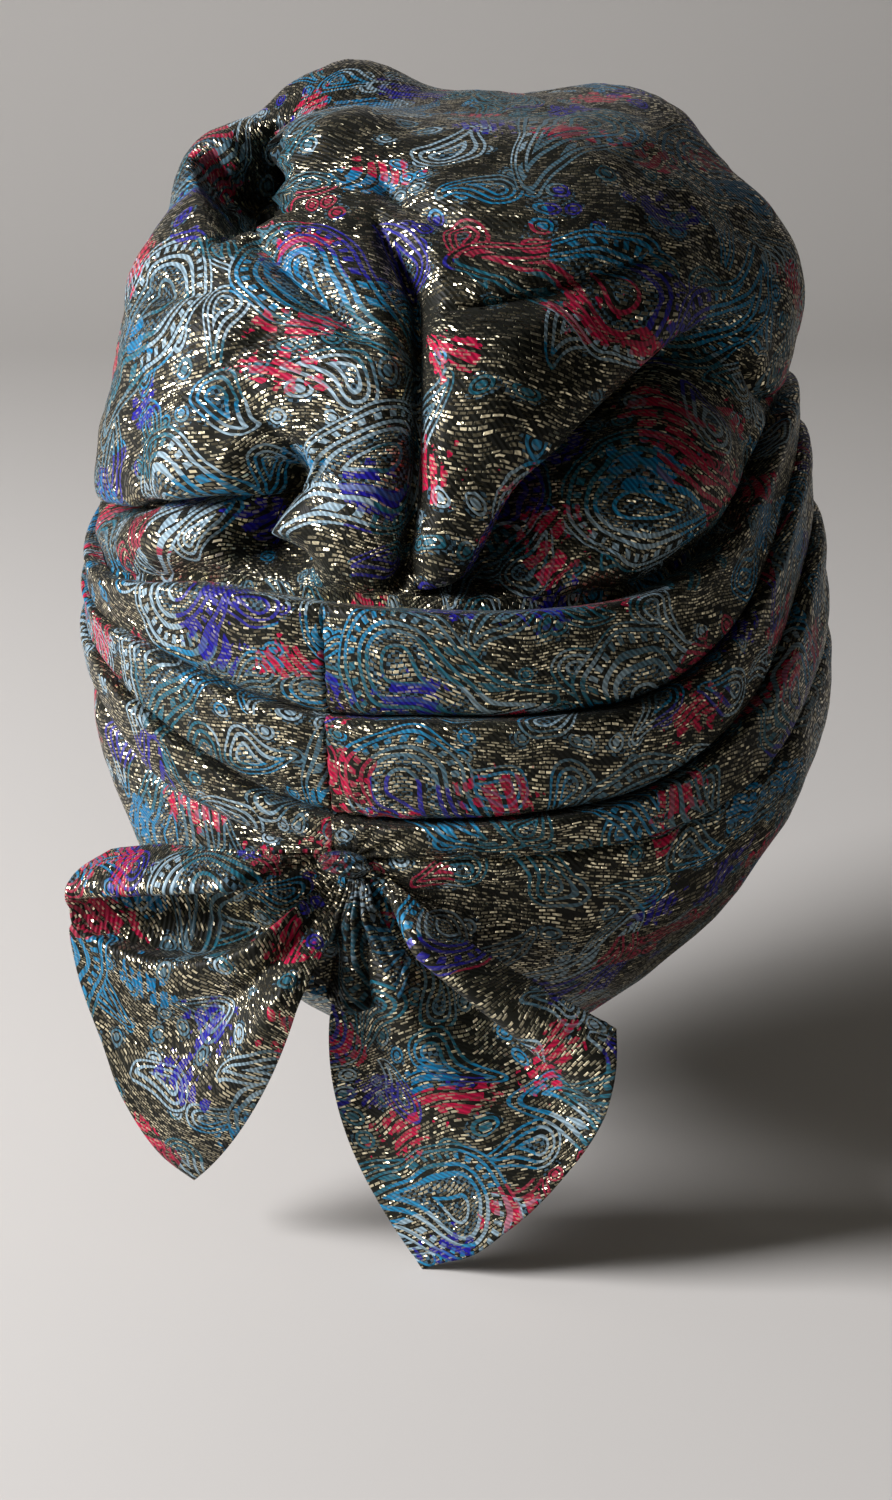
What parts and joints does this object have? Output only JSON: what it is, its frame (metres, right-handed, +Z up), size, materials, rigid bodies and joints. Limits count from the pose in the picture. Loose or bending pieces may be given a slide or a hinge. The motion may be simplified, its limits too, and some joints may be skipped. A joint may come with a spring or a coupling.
{
  "type": "turban headwrap",
  "caption": "Soft turban headwrap of woven brocade: a gathered slouchy crown over a pleated band, drawn in at the nape by a knot with pointed hanging ties. Open below for the head.",
  "frame": {"origin": "middle of the wearer's head on the head-size line, just above the brows", "axes": "+Z up, -Y the way the wearer faces, +Y the nape side with the knot, -X the wearer's right"},
  "size_m": [0.2503, 0.2674, 0.3592],
  "materials": {
    "brocade": "woven paisley brocade with metallic weft, dark ground, blue, teal, crimson and pale gold figures",
    "brocade_shaded": "the same brocade, gathered tight"
  },
  "bodies": {
    "root": {"crown": "brocade", "band_left": "brocade", "band_right": "brocade", "tie_left": "brocade", "tie_right": "brocade", "knot": "brocade_shaded"}
  },
  "joints": []
}
